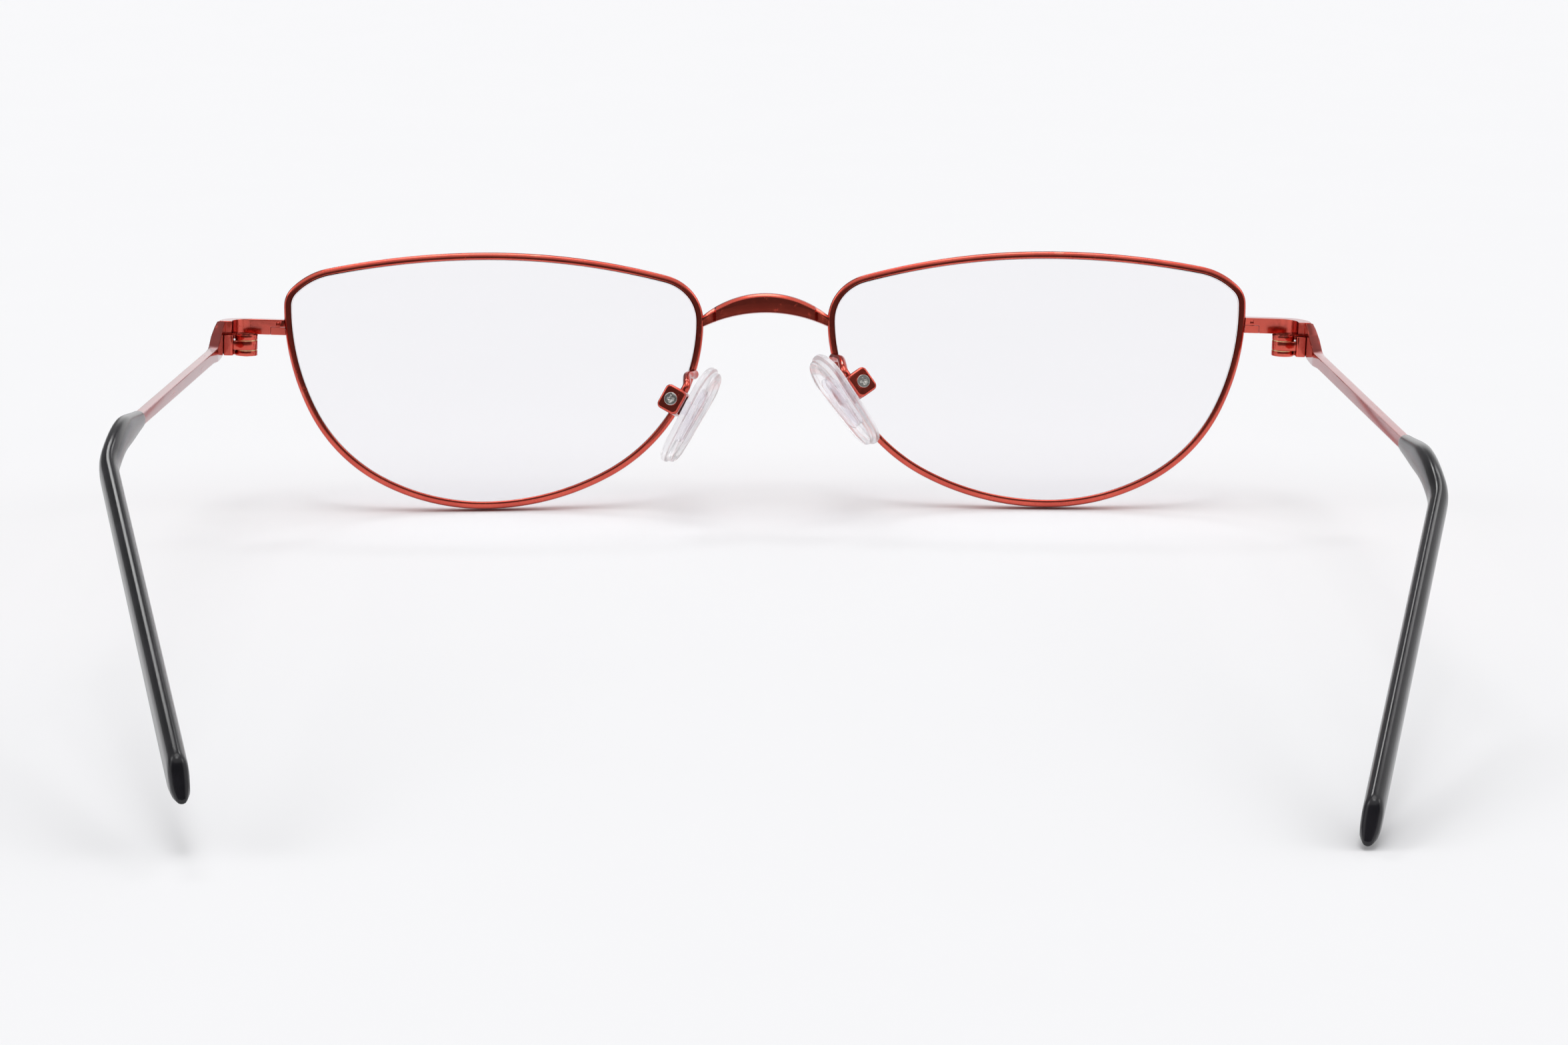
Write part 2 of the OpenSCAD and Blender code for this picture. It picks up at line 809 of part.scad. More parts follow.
module pad_box(s) {
    in_pad(s)
        difference() {
            box_body(0);
            translate([box_mouth - 1, -slot_deep / 2, -slot_w / 2])
                cube([1 - box_mouth + 1.05, slot_deep, slot_w]);
            translate([0, 3, 0])
                rotate([90, 0, 0])
                    cylinder(d = pad_pin_d + 2 * seat_fit, h = 6);
        }
}

module pad_screw(s) {
    in_pad(s)
        difference() {
            union() {
                translate([0, box_deep / 2 + 0.1, 0])
                    rotate([90, 0, 0])
                        cylinder(d = pad_pin_d, h = box_deep + 0.3);
                translate([0, box_deep / 2 + 0.02 + 0.35, 0])
                    rotate([90, 0, 0])
                        cylinder(d = pad_head_d, h = 0.35);
            }
            for (a = [0, 90])
                translate([0, box_deep / 2 + 0.37, 0])
                    rotate([0, a + 20, 0])
                        translate([-0.45, -0.2, -0.1])
                            cube([0.9, 1, 0.2]);
        }
}

// Points of a rectangle with rounded corners: two half sizes and the corner radius
function round_box(a, b, r) = [
    for (c = [[1, 1, 0], [-1, 1, 90], [-1, -1, 180], [1, -1, 270]], k = [0:5])
        [c[0] * (a - r) + r * cos(c[2] + 18 * k), c[1] * (b - r) + r * sin(c[2] + 18 * k)]
];

module box_body(gap) {
    translate([(box_out + box_mouth) / 2, 0, 0])
        rotate([90, 0, 0])
            linear_extrude(height = box_deep + 2 * gap, center = true)
                polygon(round_box((box_out - box_mouth) / 2 + gap, box_w / 2 + gap, box_round + gap));
}

module pad_arm(s) {
    d = 0.95;
    foot = rim_to_front([nose_edge(foot_v(s)), rim_deep / 2, foot_v(s)]);
    knee = foot + [0, 3.4, -0.2];
    wrist = pad_to_front([-0.4, -box_deep / 2 + 0.6, box_w / 2 + 0.7], s);
    hand = pad_to_front([-0.4, -box_deep / 2 + 0.6, box_w / 2 - 0.3], s);
    difference() {
        in_front(s) {
            rod(foot, knee, d);
            translate(knee)
                sphere(d = d * 1.06);
            rod(knee, wrist, d);
            translate(wrist)
                sphere(d = d * 1.06);
            rod(wrist, hand, d);
        }
        in_pad(s)
            box_body(0.01);
        in_rim(s)
            rim_body(0.005);
    }
}

red = [0.72, 0.16, 0.13];
glass = [0.86, 0.9, 0.94];
clear = [0.9, 0.9, 0.93];
ivory = [0.85, 0.84, 0.8];
steel = [0.8, 0.79, 0.76];
brass = [0.85, 0.68, 0.4];
black = [0.06, 0.06, 0.07];

color(red) rim(1);  // rim_left
color(red) rim(-1);  // rim_right
color(glass) lens(1);  // lens_left
color(glass) lens(-1);  // lens_right
color(red) bridge();
color(red) end_piece(1);  // end_piece_left
color(red) end_piece(-1);  // end_piece_right
color(red) rim_lock(1);  // rim_lock_left
color(red) rim_lock(-1);  // rim_lock_right
color(steel) rim_lock_screw(1);  // rim_lock_screw_left
color(steel) rim_lock_screw(-1);  // rim_lock_screw_right
color(red) hinge_front(1);  // hinge_front_left
color(red) hinge_front(-1);  // hinge_front_right
color(red) hinge_screw(1);  // hinge_screw_left
color(red) hinge_screw(-1);  // hinge_screw_right
color(brass) hinge_washers(1);  // hinge_washers_left
color(brass) hinge_washers(-1);  // hinge_washers_right
color(red) hinge_temple(1);  // hinge_temple_left
color(red) hinge_temple(-1);  // hinge_temple_right
color(red) temple(1);  // temple_left
color(red) temple(-1);  // temple_right
color(black) temple_tip(1);  // temple_tip_left
color(black) temple_tip(-1);  // temple_tip_right
color(red) pad_arm(1);  // pad_arm_left
color(red) pad_arm(-1);  // pad_arm_right
color(red) pad_box(1);  // pad_box_left
color(red) pad_box(-1);  // pad_box_right
color(steel) pad_screw(1);  // pad_screw_left
color(steel) pad_screw(-1);  // pad_screw_right
color(ivory) pad_insert(1);  // pad_insert_left
color(ivory) pad_insert(-1);  // pad_insert_right
color(clear) nose_pad(1);  // nose_pad_left
color(clear) nose_pad(-1);  // nose_pad_right
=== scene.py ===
import math

import bmesh
import bpy
from mathutils import Matrix, Vector


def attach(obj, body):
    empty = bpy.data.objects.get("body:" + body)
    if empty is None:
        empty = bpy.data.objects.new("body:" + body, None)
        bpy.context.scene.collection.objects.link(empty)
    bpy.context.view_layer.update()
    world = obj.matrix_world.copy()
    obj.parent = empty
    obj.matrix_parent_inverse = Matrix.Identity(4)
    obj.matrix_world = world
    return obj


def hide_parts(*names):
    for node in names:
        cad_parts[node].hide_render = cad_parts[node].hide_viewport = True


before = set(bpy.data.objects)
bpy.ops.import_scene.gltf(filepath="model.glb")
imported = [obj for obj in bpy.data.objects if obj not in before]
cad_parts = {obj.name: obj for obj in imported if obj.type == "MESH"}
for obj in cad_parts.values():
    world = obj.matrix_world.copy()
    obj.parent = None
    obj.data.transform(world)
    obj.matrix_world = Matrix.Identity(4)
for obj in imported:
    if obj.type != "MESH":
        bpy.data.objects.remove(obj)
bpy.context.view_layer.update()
print("stage: frame loaded")

# sizes repeated from part.scad, in millimetres and degrees
lensW, lensH, lensGap = 50.8, 30.4, 17.7
lensThick, lensBase = 1.9, 265.0
rimWall, rimDeep = 0.92, 2.0
frontTilt, faceWrap, rimCant = 12.5, 2.5, 0.25
bridgeH, bridgeDeep = 2.5, 1.7
stripUp, stripDrop = 1.92, 2.65
hingeOut, hingeBack = 4.4, 3.3
foldCross, templeRise, riseUneven, templeSplay = -1.8, 3.2, 1.0, 2.4
armX, armZ = 2.75, -0.13
templeLen, bendAt, bendDown, bendIn = 150.0, 81.0, 21.9, 15.4
bendR, turnR = 24.0, 14.0
tipFrom, tipT, tipTFront = 67.0, 2.1, 1.6
tipHFront, tipHBend, tipHEnd = 1.95, 3.6, 5.1
padLen, padW = 13.2, 7.2
padSide, padUp, padBack, padUneven = 11.6, 13.75, 7.4, 1.0
padLean, padSplay, padTwist = 32.0, 15.5, 2.8
padFace, padDrop = -2.2, -0.6
grooveDeep, ridgeGap = 0.5, 0.04
midY, lift = 69.4828, 0.7095
# shares of a whole, then how far the top and the lowest point lie from the middle of the lens
coreShare, templeShare, noseShare, padTopShare = 0.68, 0.807, 0.748, 0.4
topOff, lowOff = 0.3, 1.5

arcLen = math.radians(bendDown) * bendR
turnLen = math.radians(bendIn) * turnR
bendFrom = bendAt - arcLen / 2
endLen = templeLen - bendFrom - arcLen - turnLen
coreLen = endLen * coreShare
pathEnd = bendFrom + arcLen + turnLen + endLen
templeV, noseV = lensH * templeShare, lensH * noseShare
stripV = templeV - stripDrop
topU, lowU = lensW / 2 + topOff, lensW / 2 + lowOff
sides = (("left", 1), ("right", -1))


# places: partPlace and those built on it take millimetres in a piece's own frame to the part's metres
millimetre = 0.001


def turn(axis, degrees):
    return Matrix.Rotation(math.radians(degrees), 4, axis)


def move(x, y, z):
    return Matrix.Translation((x, y, z))


def partPlace(side):
    return Matrix.Scale(millimetre, 4) @ move(0, -midY, lift) @ Matrix.Diagonal((side, 1, 1, 1))


def frontPlace(side):
    return partPlace(side) @ turn("X", frontTilt)


def rimInFront():
    return move(lensGap / 2, 0, 0) @ turn("Z", faceWrap) @ turn("Y", -rimCant)


def rimPlace(side):
    return frontPlace(side) @ rimInFront()


def hingePlace(side):
    root = turn("X", frontTilt) @ rimInFront() @ Vector((lensW + rimWall, 0, stripV))
    tilt = turn("X", templeRise + side * riseUneven) @ turn("Y", side * foldCross)
    at = root - tilt @ Vector((-hingeOut, -hingeBack, stripUp))
    return partPlace(side) @ Matrix.Translation(at) @ tilt


def armPlace(side):
    return hingePlace(side) @ move(armX, 0, armZ) @ turn("Z", -templeSplay)


def padInFront(side):
    twist = side * padTwist
    at = move(padSide, padBack, padUp - side * padUneven)
    return at @ turn("Y", twist - padLean) @ turn("Z", twist - padSplay)


def padPlace(side):
    return frontPlace(side) @ padInFront(side)


def alongArm(y):
    # frame of the temple's path at the length y from the hinge
    if y < bendFrom:
        return move(0, y, 0)
    down = min(y - bendFrom, arcLen) / bendR
    bent = move(0, bendFrom, -bendR) @ Matrix.Rotation(-down, 4, "X") @ move(0, 0, bendR)
    if y < bendFrom + arcLen:
        return bent
    past = min(y - bendFrom - arcLen, turnLen) / turnR
    turned = bent @ move(-turnR, 0, 0) @ Matrix.Rotation(past, 4, "Z") @ move(turnR, 0, 0)
    return turned @ move(0, max(0.0, y - bendFrom - arcLen - turnLen), 0)


# meshes
weldReach = 2e-7  # metres
flatWeight = 80


def skin(rings):
    # joins rings of equal length and closes both ends; returns points and faces
    count = len(rings[0])
    points = [p for ring in rings for p in ring]
    faces = []
    for a in range(0, len(points) - count, count):
        b = a + count
        for k in range(count):
            n = (k + 1) % count
            faces.append((a + k, a + n, b + n, b + k))
    faces.append(tuple(range(count)))
    faces.append(tuple(range(len(points) - count, len(points))))
    return points, faces


def finishMesh(name, mesh, material, body, nodes, sharp):
    made = bmesh.new()
    made.from_mesh(mesh)
    bmesh.ops.remove_doubles(made, verts=made.verts, dist=weldReach)
    bmesh.ops.recalc_face_normals(made, faces=made.faces)
    made.to_mesh(mesh)
    made.free()
    mesh.polygons.foreach_set("use_smooth", [True] * len(mesh.polygons))
    mesh.set_sharp_from_angle(angle=math.radians(sharp))
    mesh.materials.clear()
    mesh.materials.append(material)
    piece = bpy.data.objects.new(name, mesh)
    bpy.context.scene.collection.objects.link(piece)
    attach(piece, body)
    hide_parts(*nodes)
    return piece


def keepFlatsFlat(piece):
    # shades wide faces flat and leaves the turn to the narrow ones beside them
    weighted = piece.modifiers.new("flats", "WEIGHTED_NORMAL")
    weighted.keep_sharp = True
    weighted.weight = flatWeight


def makePiece(name, rings, place, material, body, nodes, sharp):
    # place takes the rings to the part's frame; sharp is the angle from which an edge stays sharp
    points, faces = skin(rings)
    mesh = bpy.data.meshes.new(name)
    mesh.from_pydata([place @ Vector(p) for p in points], [], faces)
    return finishMesh(name, mesh, material, body, nodes, sharp)


def roundedBox(halfA, halfB, corner, steps, tall=1.0):
    # closed outline of a rectangle with rounded corners, each tall times as high as it is wide
    out, cornerB = [], corner * tall
    for signA, signB, start in ((1, 1, 0), (-1, 1, 90), (-1, -1, 180), (1, -1, 270)):
        for k in range(steps + 1):
            a = math.radians(start + 90 * k / steps)
            out.append((signA * (halfA - corner) + corner * math.cos(a),
                        signB * (halfB - cornerB) + cornerB * math.sin(a)))
    return out


def between(table, x):
    # straight-line value from a table of (x, value)
    if x <= table[0][0]:
        return table[0][1]
    for (x0, v0), (x1, v1) in zip(table, table[1:]):
        if x <= x1:
            return v0 + (v1 - v0) * (x - x0) / (x1 - x0)
    return table[-1][1]


def eased(table, x, reach):
    # the same value, averaged over the reach on both sides so that bends are round
    half = 4
    return sum(between(table, x + reach * k / half) for k in range(-half, half + 1)) / (2 * half + 1)


# materials
class Wire:
    # a socket of one material, with arithmetic on it
    def __init__(self, tree, socket=None):
        self.tree, self.socket = tree, socket

    def node(self, kind, settings=None, sockets=None, out=0):
        made = self.tree.nodes.new(kind)
        for key, value in (settings or {}).items():
            setattr(made, key, value)
        for key, value in (sockets or {}).items():
            if isinstance(value, Wire):
                self.tree.links.new(value.socket, made.inputs[key])
            else:
                made.inputs[key].default_value = value
        return Wire(self.tree, made.outputs[out])

    def maths(self, operation, first, second):
        return self.node("ShaderNodeMath", {"operation": operation}, {0: first, 1: second})

    def __add__(self, other):
        return self.maths("ADD", self, other)

    def __radd__(self, other):
        return self.maths("ADD", other, self)

    def __sub__(self, other):
        return self.maths("SUBTRACT", self, other)

    def __rsub__(self, other):
        return self.maths("SUBTRACT", other, self)

    def __mul__(self, other):
        return self.maths("MULTIPLY", self, other)

    def __rmul__(self, other):
        return self.maths("MULTIPLY", other, self)

    def between(self, low, high):
        # 0 below low, 1 above high, smooth in between
        return self.node("ShaderNodeMapRange", {"interpolation_type": "SMOOTHSTEP"},
                         {"Value": self, "From Min": low, "From Max": high})

    def tint(self, first, second):
        # colour that goes from first to second with this value
        colours = {0: self, 6: first, 7: second}
        return self.node("ShaderNodeMix", {"data_type": "RGBA"}, colours, out=2)

    def noise(self, scale, detail, stretch=None):
        # in the object's own coordinates, stretched along an axis with a small factor
        at = self.node("ShaderNodeTexCoord", out=3)
        if stretch:
            at = self.node("ShaderNodeVectorMath", {"operation": "MULTIPLY"}, {0: at, 1: stretch})
        pattern = {"Vector": at, "Scale": scale, "Detail": detail}
        return self.node("ShaderNodeTexNoise", None, pattern)

    def bump(self, height, strength, distance):
        relief = {"Height": height, "Strength": strength, "Distance": distance}
        return self.node("ShaderNodeBump", None, relief)

    def principled(self, sockets):
        return self.node("ShaderNodeBsdfPrincipled", None, sockets)

    def seeThrough(self, shader, colour, share=0.0):
        # mixes in a plain see-through share, and leaves only that to shadow rays
        clear = self.node("ShaderNodeBsdfTransparent", None, {"Color": colour})
        shadow = self.node("ShaderNodeLightPath", out="Is Shadow Ray")
        mix = {0: share + (1 - share) * shadow, 1: shader, 2: clear}
        return self.node("ShaderNodeMixShader", None, mix)


def newMaterial(name):
    material = bpy.data.materials.new(name)
    material.use_nodes = True
    tree = material.node_tree
    tree.nodes.clear()
    return material, Wire(tree)


def surface(kit, shader):
    out = kit.tree.nodes.new("ShaderNodeOutputMaterial")
    kit.tree.links.new(shader.socket, out.inputs["Surface"])


def redMetal():
    look = {
        # edge is a painted highlight colour for the bevels, which on the real frame are lighter only from
        # reflected light
        "thick": (0.62, 0.07, 0.041, 1), "thin": (0.71, 0.093, 0.055, 1), "edge": (0.82, 0.24, 0.16, 1),
        "deep": (0.42, 0.035, 0.024, 1), "grazing": (0.42, 0.36, 0.4, 1),
        # each noise as (scale, detail, stretch), and the range of it that counts
        "cloud": (260.0, 3.0), "cloudRange": (0.35, 0.65), "grain": (9000.0, 2.0), "grainRange": (0.45, 0.75),
        "scuff": (1400.0, 4.0, (1.0, 0.12, 1.0)), "scuffRange": (0.58, 0.75), "edgeRange": (0.56, 0.66),
        "paintedEdgeHighlight": 0.35, "fleck": 0.35, "rough": 0.15, "grainRough": 0.10, "scuffRough": 0.12,
        "relief": 0.14, "reliefHigh": 0.00001, "coat": 0.85, "coatRough": 0.08,
    }
    material, kit = newMaterial("redLacquerOnMetal")
    cloud = kit.noise(*look["cloud"])
    grain = kit.noise(*look["grain"])
    scuff = kit.noise(*look["scuff"]).between(*look["scuffRange"])
    # painted highlight: a lighter red is mixed in where the surface is pointed, along the edges and bevels;
    # it is not wear of the lacquer
    edge = kit.node("ShaderNodeNewGeometry", out="Pointiness").between(*look["edgeRange"])
    colour = cloud.between(*look["cloudRange"]).tint(look["thick"], look["thin"])
    colour = (edge * look["paintedEdgeHighlight"]).tint(colour, look["edge"])
    colour = (grain.between(*look["grainRange"]) * look["fleck"]).tint(colour, look["deep"])
    surface(kit, kit.principled({
        "Base Color": colour, "Metallic": 1.0,
        "Roughness": look["rough"] + look["grainRough"] * grain + look["scuffRough"] * scuff,
        "Normal": kit.bump(grain, look["relief"], look["reliefHigh"]),
        "Specular Tint": look["grazing"], "Coat Weight": look["coat"], "Coat Roughness": look["coatRough"],
    }))
    return material


def plainMetal(name, base, shade, rough):
    look = {"brush": (2600.0, 3.0, (1.0, 1.0, 0.25)), "brushRange": (0.3, 0.7), "speck": (7800.0, 2.0),
            "brushRough": 0.14, "relief": 0.15, "reliefHigh": 0.00001}
    material, kit = newMaterial(name)
    brushed = kit.noise(*look["brush"])
    speck = kit.noise(*look["speck"])
    surface(kit, kit.principled({
        "Base Color": brushed.between(*look["brushRange"]).tint(base, shade), "Metallic": 1.0,
        "Roughness": rough + look["brushRough"] * brushed,
        "Normal": kit.bump(speck, look["relief"], look["reliefHigh"]),
    }))
    return material


def lensGlass():
    look = {"colour": (0.985, 0.98, 1.0, 1), "index": 1.5, "film": 118.0, "filmIndex": 1.38,
            "smear": (90.0, 3.0, (1.0, 1.0, 0.5)), "smearRange": (0.5, 0.8), "smearRough": 0.012,
            "shadow": (0.97, 0.965, 0.98, 1)}
    material, kit = newMaterial("lensPolycarbonate")
    smear = kit.noise(*look["smear"]).between(*look["smearRange"])
    shader = kit.principled({
        "Base Color": look["colour"], "Transmission Weight": 1.0, "IOR": look["index"],
        "Thin Film Thickness": look["film"], "Thin Film IOR": look["filmIndex"],
        "Roughness": look["smearRough"] * smear,
    })
    surface(kit, kit.seeThrough(shader, look["shadow"]))
    return material


def softSilicone():
    look = {"colour": (0.985, 0.975, 0.98, 1), "index": 1.41, "haze": (700.0, 3.0),
            "rough": 0.03, "hazeRough": 0.05, "relief": 0.08, "reliefHigh": 0.00005,
            "shadow": (0.94, 0.93, 0.945, 1), "clear": 0.4}
    material, kit = newMaterial("clearSilicone")
    haze = kit.noise(*look["haze"])
    shader = kit.principled({
        "Base Color": look["colour"], "Transmission Weight": 1.0, "IOR": look["index"],
        "Roughness": look["rough"] + look["hazeRough"] * haze,
        "Normal": kit.bump(haze, look["relief"], look["reliefHigh"]),
    })
    surface(kit, kit.seeThrough(shader, look["shadow"], look["clear"]))
    return material


def insertPlastic():
    look = {"milky": (0.90, 0.87, 0.92, 1), "clear": (0.96, 0.95, 0.97, 1), "transmission": 0.96,
            "index": 1.12, "flow": (500.0, 3.0), "flowRange": (0.3, 0.7), "rough": 0.08,
            "flowRough": 0.08, "relief": 0.1, "reliefHigh": 0.00003}
    material, kit = newMaterial("padInsertPlastic")
    flow = kit.noise(*look["flow"])
    surface(kit, kit.principled({
        "Base Color": flow.between(*look["flowRange"]).tint(look["milky"], look["clear"]),
        "Transmission Weight": look["transmission"], "IOR": look["index"],
        "Roughness": look["rough"] + look["flowRough"] * flow,
        "Normal": kit.bump(flow, look["relief"], look["reliefHigh"]),
    }))
    return material


def blackTip():
    look = {"deep": (0.006, 0.006, 0.008, 1), "pale": (0.014, 0.013, 0.017, 1), "index": 1.44,
            "cloud": (220.0, 3.0), "cloudRange": (0.35, 0.65),
            "scuff": (1800.0, 4.0, (1.0, 0.08, 1.0)), "scuffRange": (0.66, 0.85),
            "rough": 0.19, "cloudRough": 0.05, "scuffRough": 0.08, "relief": 0.05, "reliefHigh": 0.00002}
    material, kit = newMaterial("glossyBlackAcetate")
    cloud = kit.noise(*look["cloud"])
    scuff = kit.noise(*look["scuff"]).between(*look["scuffRange"])
    surface(kit, kit.principled({
        "Base Color": cloud.between(*look["cloudRange"]).tint(look["deep"], look["pale"]),
        "Roughness": look["rough"] + look["cloudRough"] * cloud + look["scuffRough"] * scuff,
        "IOR": look["index"], "Normal": kit.bump(cloud, look["relief"], look["reliefHigh"]),
    }))
    return material


def floorPaper():
    look = {"first": (0.905, 0.905, 0.92, 1), "second": (0.915, 0.915, 0.93, 1),
            "fibre": (40.0, 4.0), "rough": 0.9}
    material, kit = newMaterial("palePaper")
    fibre = kit.noise(*look["fibre"])
    surface(kit, kit.principled({
        "Base Color": fibre.tint(look["first"], look["second"]),
        "Roughness": look["rough"], "Specular IOR Level": 0.0,
    }))
    return material


red = redMetal()
glass = lensGlass()
silicone = softSilicone()
insert = insertPlastic()
steel = plainMetal("screwSteel", (0.80, 0.79, 0.76, 1), (0.66, 0.65, 0.62, 1), 0.16)
brass = plainMetal("brassWasher", (0.93, 0.70, 0.38, 1), (0.86, 0.58, 0.27, 1), 0.14)
black = blackTip()
print("stage: materials made")

# quarters of the lens opening: run, rise, the two angles at which the radius changes, the middle
# radius as a share of the rise, then the start of the quarter and the directions that it runs in
quarters = (
    (lensW - topU, lensH - templeV, 11.5, 46, 1.37, topU, lensH, 1, -1),
    (lensW - lowU, templeV, 28.5, 63, 0.8, lowU, 0, 1, 1),
    (lowU, noseV, 28.5, 62, 0.96, lowU, 0, -1, 1),
    (topU, lensH - noseV, 14.6, 45, 0.72, topU, lensH, -1, -1),
)


def arcsOf(quarter):
    # centre, radius, and the two angles in radians of the three arcs of a quarter
    run, rise, first, second, ratio = quarter[:5]
    a, b = math.radians(first), math.radians(second)
    mid = ratio * rise
    x = run - mid * (math.sin(b) - math.sin(a))
    y = rise - mid * (math.cos(a) - math.cos(b))
    det = math.sin(a) * math.cos(b) - (1 - math.sin(b)) * (1 - math.cos(a))
    early = (x * math.cos(b) - y * (1 - math.sin(b))) / det
    late = (y * math.sin(a) - x * (1 - math.cos(a))) / det
    arcs, at = [], (0.0, 0.0)
    for r, start, end in ((early, 0.0, a), (mid, a, b), (late, b, math.pi / 2)):
        centre = (at[0] - r * math.sin(start), at[1] + r * math.cos(start))
        arcs.append((centre, r, start, end))
        at = (centre[0] + r * math.sin(end), centre[1] - r * math.cos(end))
    return arcs


def arcPoint(quarter, arc, angle):
    # point on the opening's edge and the direction out of the opening
    startU, startV, alongU, alongV = quarter[5:]
    (x, y), r = arc[:2]
    s, c = math.sin(angle), math.cos(angle)
    return startU + alongU * (x + r * s), startV + alongV * (y - r * c), alongU * s, -alongV * c


finestTurn = 0.1  # radians from point to point on the lens outline


def quarterLine(quarter, step, start=0.0, end=math.pi / 2):
    out = []
    for arc in arcsOf(quarter):
        low, high = max(arc[2], start), min(arc[3], end)
        if high <= low:
            continue
        count = max(round(arc[1] * (high - low) / step), math.ceil((high - low) / finestTurn))
        for k in range(count + 1):
            if k or not out:
                out.append(arcPoint(quarter, arc, low + (high - low) * k / count))
    return out


def openingLine(step, slit=0.0):
    # whole edge as (u, v, outward u, outward v); with a slit it starts and ends at the rim lock
    temple = quarters[1]
    if slit:
        centre, r = arcsOf(temple)[2][:2]
        low = math.acos((centre[1] - stripV + slit / 2) / r)
        high = math.acos((centre[1] - stripV - slit / 2) / r)
        line = quarterLine(temple, step, 0.0, low)[::-1]
        tail = quarterLine(temple, step, high, math.pi / 2)[::-1]
    else:
        line, tail = quarterLine(temple, step)[::-1], []
    line += quarterLine(quarters[2], step)[1:]
    line += quarterLine(quarters[3], step)[::-1][1:]
    line += quarterLine(quarters[0], step)[1:]
    return line + tail[1:] if tail else line[:-1]


# rims
rimShape = {
    "step": 0.4, "slit": 0.01, "sharp": 40,
    # half of the wire's section: outwards from the opening, then the depth; the groove comes first
    "half": ((0.5, 0.25), (0.02, 0.44), (0.0, 0.5), (0.0, 0.84), (0.03, 0.93), (0.1, 0.985),
             (0.2, 1.0), (0.36, 0.985), (0.52, 0.955), (0.66, 0.91), (0.76, 0.85), (0.84, 0.76),
             (0.89, 0.64), (0.915, 0.45), (0.92, 0.2)),
}
rimSection = list(rimShape["half"]) + [(w, -d) for w, d in rimShape["half"][::-1]]

for label, side in sides:
    line = openingLine(rimShape["step"], rimShape["slit"])
    rings = [[(u + nu * w, d, v + nv * w) for w, d in rimSection] for u, v, nu, nv in line]
    makePiece("rim_wire_" + label, rings, rimPlace(side), red, "front",
              ["rim_" + label], rimShape["sharp"])
print("stage: rims made")

# lenses
lensShape = {
    "step": 0.8, "shares": (0.16, 0.32, 0.48, 0.62, 0.75, 0.86, 0.94, 0.985, 1.0),
    # how far the middle bulges forward, the gap to the rim, half of the ridge's width
    "bulge": 0.87, "gap": 0.03, "ridge": 0.2, "sharp": 30,
}
lensRidge = grooveDeep - ridgeGap


def lensY(u, v, rear):
    away = (u - lensW / 2) ** 2 + (v - lensH / 2) ** 2
    face = lensThick / 2 if rear else -lensThick / 2
    return lensBase + face - lensShape["bulge"] - math.sqrt(lensBase ** 2 - away)


def lensRing(line, share, rear):
    out = []
    for u, v, nu, nv in line:
        p = lensW / 2 + (u - nu * lensShape["gap"] - lensW / 2) * share
        q = lensH / 2 + (v - nv * lensShape["gap"] - lensH / 2) * share
        out.append((p, lensY(p, q, rear), q))
    return out


def ridgeRing(line, out, y):
    return [(u + nu * out, y, v + nv * out) for u, v, nu, nv in line]


for label, side in sides:
    line = openingLine(lensShape["step"])
    gap, ridge = -lensShape["gap"], lensShape["ridge"]
    rings = [lensRing(line, s, False) for s in lensShape["shares"]]
    rings += [ridgeRing(line, gap, -ridge), ridgeRing(line, lensRidge, -ridge)]
    rings += [ridgeRing(line, lensRidge, ridge), ridgeRing(line, gap, ridge)]
    rings += [lensRing(line, s, True) for s in lensShape["shares"][::-1]]
    makePiece("lens_blank_" + label, rings, rimPlace(side), glass, "front",
              ["lens_" + label], lensShape["sharp"])
print("stage: lenses made")

# bridge
bridgeShape = {
    "topR": 12.4, "lowR": 18.5, "drop": 4.1, "sharp": 30,
    "facetAt": 6.23, "facetFoot": 6.43, "facetDepth": 0.35, "facetSlope": 22.0,
    # corners of the section: in from the back or the front, in from the top or the underside
    "backTop": ((0.0, 0.58), (0.0754, 0.3596), (0.2436, 0.1276), (0.551, 0.0)),
    "front": ((0.38, 0.0), (0.1, 0.1), (0.0, 0.38)),
    "backLow": ((0.33, 0.0), (0.1, 0.08), (0.09, 0.3), (0.0, 1.15)),
    "stations": (0.7, 1.4, 2.1, 2.8, 3.5, 4.2, 4.9, 5.5, 6.0, 6.23, 6.43, 6.8, 7.2, 7.6, 7.8, 8.05),
}


def bridgeRear(x):
    # depth of the back at x: full in the middle, a facet at each end
    s, full = bridgeShape, bridgeDeep / 2
    if abs(x) > s["facetFoot"]:
        rise = math.tan(math.radians(s["facetSlope"])) * (abs(x) - s["facetFoot"])
        return min(full, s["facetDepth"] + rise)
    if abs(x) > s["facetAt"]:
        share = (abs(x) - s["facetAt"]) / (s["facetFoot"] - s["facetAt"])
        return full - (full - s["facetDepth"]) * share
    return full


def bridgeRing(x):
    s = bridgeShape
    topV = lensH - s["drop"]
    top = topV - s["topR"] + math.sqrt(s["topR"] ** 2 - x * x)
    low = topV - bridgeH - s["lowR"] + math.sqrt(s["lowR"] ** 2 - x * x)
    front, rear = -bridgeDeep / 2, bridgeRear(x)
    section = [(rear - a, top - b) for a, b in s["backTop"]]
    section += [(front + a, top - b) for a, b in s["front"]]
    section += [(front + a, low + b) for a, b in s["front"][::-1]]
    section += [(rear - a, low + b) for a, b in s["backLow"]]
    return [(x, y, z) for y, z in section]


stations = [-x for x in bridgeShape["stations"][::-1]] + [0.0] + list(bridgeShape["stations"])
bridge = makePiece("bridge_bar", [bridgeRing(x) for x in stations], frontPlace(1), red, "front",
                   ["bridge"], bridgeShape["sharp"])
keepFlatsFlat(bridge)
print("stage: bridge made")

